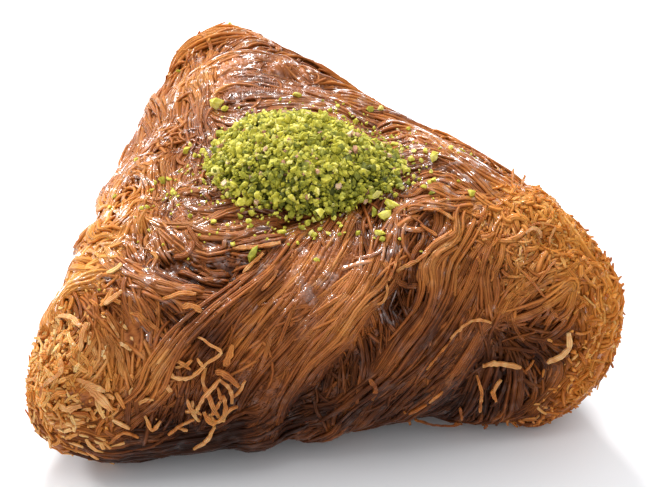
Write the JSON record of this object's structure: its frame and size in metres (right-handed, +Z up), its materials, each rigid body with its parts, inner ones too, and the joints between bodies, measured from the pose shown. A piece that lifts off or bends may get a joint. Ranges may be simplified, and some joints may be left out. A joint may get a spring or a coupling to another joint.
{
  "type": "kadayif baklava triangle",
  "caption": "Triangular parcel of fine shredded pastry soaked in syrup, with a small heap of ground pistachio on its top.",
  "frame": {"origin": "middle of the box round the part, at the flat base that it rests on", "axes": "+Z up, out of the top with the heap; -Y towards the long front side; +X towards the thicker right corner"},
  "size_m": [0.0832, 0.0861, 0.04],
  "materials": {
    "pastry": "fine baked strands of pastry, amber brown to pale gold, glossy with syrup",
    "pistachio": "ground pistachio, yellow-green crumbs, matte"
  },
  "bodies": {
    "root": {"pastry": "pastry", "pistachio_heap": "pistachio"}
  },
  "joints": []
}
